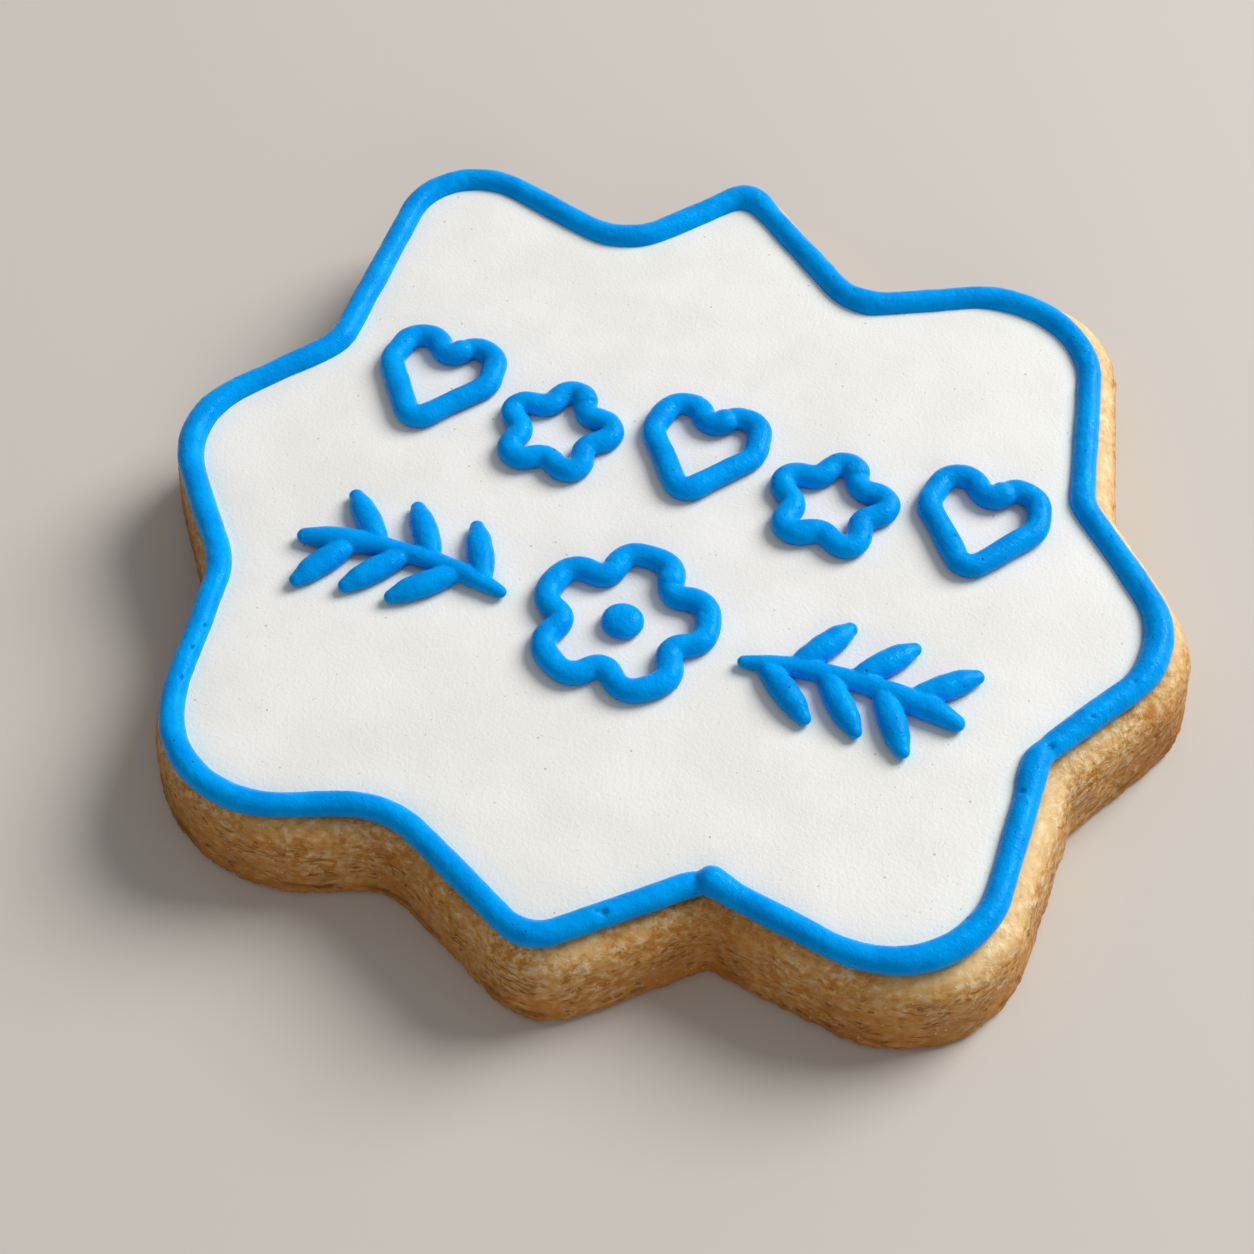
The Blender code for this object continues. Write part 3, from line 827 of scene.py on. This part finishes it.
def decoration_point(point, icing_place):
    """A point of the decoration in the row's frame."""
    cos = math.cos(DECORATION_TILT)
    sin = math.sin(DECORATION_TILT)
    x, y = np.asarray(point).T
    turned = np.column_stack((x * cos - y * sin, x * sin + y * cos))
    return turned + np.array(DECORATION_MIDDLE) + icing_place


def heart_corners():
    other_half = [(-x, y, rounding) for x, y, rounding in reversed(HEART_HALF)]
    corners = [HEART_NOTCH, *other_half, HEART_TIP, *HEART_HALF]
    return [(Vector((x, y)) * HEART_SIZE, rounding * HEART_SIZE) for x, y, rounding in corners]


def star_corners():
    corners = []
    for i in range(STAR_POINTS):
        degrees = 90 + 360 * i / STAR_POINTS
        corners.append((polar(degrees, STAR_REACH), STAR_ROUNDING))
        corners.append((polar(degrees + 180 / STAR_POINTS, STAR_WAIST), STAR_ROUNDING))
    return corners


def flower_corners():
    corners = []
    for i in range(PETALS):
        degrees = 90 + 360 * i / PETALS
        corners.append((polar(degrees - PETAL_HALF_ANGLE, PETAL_REACH), PETAL_ROUNDING))
        corners.append((polar(degrees + PETAL_HALF_ANGLE, PETAL_REACH), PETAL_ROUNDING))
        corners.append((polar(degrees + 180 / PETALS, PETAL_NOTCH_REACH), PETAL_NOTCH_ROUNDING))
    return corners


def ring(name, corners, location, icing_place, blue, seed):
    """A motif piped in one go, whose end runs into its start with a small bump."""
    line = rounded(corners, MOTIF_ARC, MOTIF_ARC)
    line = smoothed(resampled(line, 220), 4)
    line = np.vstack((line, line[:6]))
    count = len(line)
    line = wobbled(line, 0.10 * MM, 4 * MM, seed)
    share = np.linspace(0, 1, count)
    flat = np.column_stack((line, np.zeros(count)))
    swellings = 0.98 + 0.07 * fractal(flat, 4 * MM, 2, seed + 4)
    swellings += 0.10 * np.exp(-(share / 0.03) ** 2)
    feet = np.full(count, PIPING_FOOT) + 0.00015 * np.exp(-(share / 0.03) ** 2)
    shape = section(PIPING_WIDTH, PIPING_TOP - PIPING_FOOT, PIPING_FOOT_ANGLE)
    path = decoration_point(line + np.array(location), icing_place)
    thing = merged(name + "_piping", [tube(path, feet, swellings, shape)], PIPING_VOXEL, 5)
    roughen(thing, seed)
    stands_for(thing, name, blue)
    return path


def upper_row(icing_place, blue):
    paths = []
    for place, name in enumerate(UPPER_ROW):
        heart = name.startswith("heart")
        corners = heart_corners() if heart else star_corners()
        across = (place - len(UPPER_ROW) // 2) * MOTIF_SPACING
        up = ROW_HEIGHT + (MOTIF_STAGGER if heart else -MOTIF_STAGGER)
        paths.append(ring(name, corners, (across, up), icing_place, blue, 10.0 + 3 * place))
    return np.vstack(paths)


def flower(icing_place, blue):
    petals = ring("flower_ring", flower_corners(), (0, -ROW_HEIGHT), icing_place, blue, 40.0)
    shape = section(2 * FLOWER_DOT_RADIUS, PIPING_TOP - PIPING_FOOT, PIPING_FOOT_ANGLE)
    path = np.array([(-0.0001, 0.0), (0.0, 0.00002), (0.0001, 0.0)]) + np.array((0, -ROW_HEIGHT))
    path = decoration_point(path, icing_place)
    thing = merged("flower_dot_piping", [tube(path, np.full(3, PIPING_FOOT), [1, 1, 1], shape)], PIPING_VOXEL, 5)
    roughen(thing, 44.0)
    stands_for(thing, "flower_dot", blue)
    return np.vstack((petals, path))


def stem_point(share, side):
    across = side * SPRIG_LENGTH * (share - 0.5)
    return Vector((across, SPRIG_BOW * (4 * share * (1 - share) - 0.5)))


def leaf_line(number, side):
    share = FIRST_LEAF + LEAF_SPACING * number
    root = stem_point(share, side)
    along = stem_point(share + LEAF_SPACING, side) - root
    lean = LEAF_ANGLE if number % 2 else -LEAF_ANGLE
    tip = polar(math.degrees(math.atan2(along.y, along.x)) + lean, LEAF_LENGTH)
    return [root + tip * leaf_share for leaf_share, _ in LEAF_SWELLINGS]


def sprig_tube(line, swellings, location, icing_place, seed):
    knots = [(*point, swelling) for point, swelling in zip(line, swellings)]
    rows = smoothed(resampled(knots, 60, closed=False), 4, closed=False)
    path = wobbled(rows[:, :2], 0.08 * MM, 3 * MM, seed)
    path = decoration_point(path + np.array(location), icing_place)
    shape = section(PIPING_WIDTH, PIPING_TOP - PIPING_FOOT, PIPING_FOOT_ANGLE)
    feet = np.full(len(path), PIPING_FOOT)
    return tube(path, feet, rows[:, 2], shape)


def sprig(name, side, icing_place, blue):
    location = (side * SPRIG_PLACE, -ROW_HEIGHT)
    last = len(STEM_SWELLINGS) - 1
    stem = [stem_point(step / last, side) for step in range(last + 1)]
    tubes = [sprig_tube(stem, STEM_SWELLINGS, location, icing_place, 50.0 + side)]
    swellings = [swelling for _, swelling in LEAF_SWELLINGS]
    for number in range(LEAVES):
        line = leaf_line(number, side)
        tubes.append(sprig_tube(line, swellings, location, icing_place, 60.0 + 3 * number + side))
    thing = merged(name + "_piping", tubes, PIPING_VOXEL, 5)
    roughen(thing, 80.0 + side)
    stands_for(thing, name, blue)
    middles = [points.reshape(-1, SECTION, 3).mean(axis=1)[4:-4, :2] for points, _ in tubes]
    return np.vstack(middles)


# Studio: floor, lights and camera.

TARGET = (0.00043, -0.0121, 0.00995)  # in the icing's place
AZIMUTH = math.radians(15.8)
ELEVATION = math.radians(53.0)
DISTANCE = 0.1994
LENS = 63.16
FLOOR = -0.0001  # just clear of the flat underside


def view_way(azimuth, elevation):
    """Unit vector from the target towards a camera or a light."""
    flat = math.cos(elevation)
    return Vector((math.sin(azimuth) * flat, -math.cos(azimuth) * flat, math.sin(elevation)))


def aim(thing, way):
    thing.rotation_euler = way.to_track_quat("Z", "Y").to_euler()


def add_camera(icing_place):
    data = bpy.data.cameras.new("camera")
    data.sensor_width = 36
    data.lens = LENS
    data.clip_start = 0.001
    camera = bpy.data.objects.new("camera", data)
    bpy.context.scene.collection.objects.link(camera)
    way = view_way(AZIMUTH, ELEVATION)
    target = Vector(TARGET) + Vector((*icing_place, 0))
    camera.location = target + way * DISTANCE
    aim(camera, way)
    bpy.context.scene.camera = camera


def add_light(name, azimuth, elevation, distance, size, power, colour=(1, 1, 1)):
    data = bpy.data.lights.new(name, "AREA")
    data.shape = "DISK"
    data.size = size
    data.energy = power
    data.color = colour
    light = bpy.data.objects.new(name, data)
    bpy.context.scene.collection.objects.link(light)
    way = view_way(math.radians(azimuth), math.radians(elevation))
    light.location = way * distance
    aim(light, way)


def studio(icing_place):
    corners = [(-2, -2, FLOOR), (2, -2, FLOOR), (2, 2, FLOOR), (-2, 2, FLOOR)]
    floor = mesh_object("floor", corners, [[0, 1, 2, 3]])
    material, tree, shader = new_material("floor", 0.7)
    shader.inputs["Base Color"].default_value = (0.60, 0.565, 0.525, 1)
    floor.data.materials.append(material)
    world = bpy.data.worlds.new("studio")
    world.use_nodes = True
    world.node_tree.nodes["Background"].inputs["Color"].default_value = (1.0, 1.0, 1.0, 1)
    world.node_tree.nodes["Background"].inputs["Strength"].default_value = 0.27
    bpy.context.scene.world = world
    add_light("key", 139.5, 39, 1.5, 0.95, 26.0, (1.0, 0.992, 0.970))
    add_light("fill", 26, 24, 1.4, 0.8, 2.6, (1.0, 0.88, 0.70))
    bpy.context.scene.view_settings.view_transform = "Standard"
    add_camera(icing_place)


def build():
    dough_place = -middle_of(plaque(DOUGH_FOOT_MARGIN, DOUGH_CHANGES))
    icing_place = dough_place - np.array(DOUGH_SHIFT)
    dough(dough_place)
    blue = blue_material()
    border(icing_place, blue)
    piped = [
        upper_row(icing_place, blue),
        flower(icing_place, blue),
        sprig("sprig_left", -1, icing_place, blue),
        sprig("sprig_right", 1, icing_place, blue),
    ]
    flood(icing_place, np.vstack(piped))
    studio(icing_place)


build()
